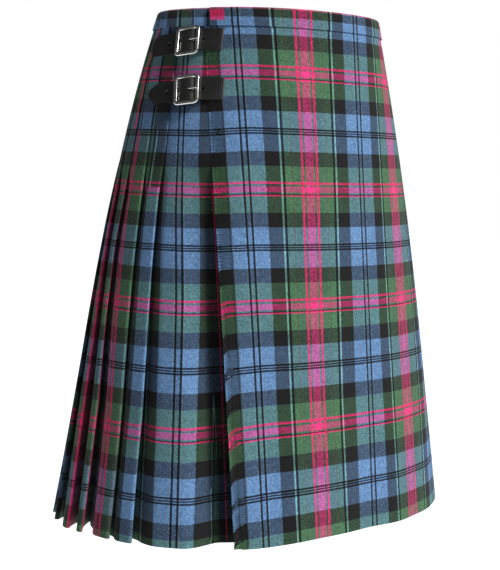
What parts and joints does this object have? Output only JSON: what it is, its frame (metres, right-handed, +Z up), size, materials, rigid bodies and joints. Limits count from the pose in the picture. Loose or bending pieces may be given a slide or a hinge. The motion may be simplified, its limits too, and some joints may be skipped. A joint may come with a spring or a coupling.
{
  "type": "scottish kilt",
  "caption": "Knee-length tartan kilt in its worn, hollow form: flat over and under aprons, sewn-down knife pleats, fringed edge, waistband, leather straps with square buckles.",
  "frame": {"origin": "middle of the waist, at the height of the upper strap, where the wearer's waist holds the kilt", "axes": "+Z up, -Y the front of the wearer, -X the wearer's right hip with the straps"},
  "size_m": [0.5381, 0.3999, 0.6173],
  "materials": {
    "tartan": "twill tartan in blue, green, black and pink",
    "tartan_band": "twill tartan cut as a narrow strip",
    "fringe": "loose weft threads",
    "leather": "black, fine grain, semi-gloss",
    "silver": "polished plating"
  },
  "bodies": {
    "root": {"over_apron": "tartan", "under_apron": "tartan", "pleats_right": "tartan", "pleats_back": "tartan", "pleats_left": "tartan", "apron_fringe": "fringe", "waistband_over": "tartan_band", "waistband_round": "tartan_band", "strap_upper": "leather", "strap_lower": "leather", "chape_upper": "leather", "chape_lower": "leather", "buckle_upper": "silver", "buckle_lower": "silver", "prong_upper": "silver", "prong_lower": "silver"}
  },
  "joints": []
}
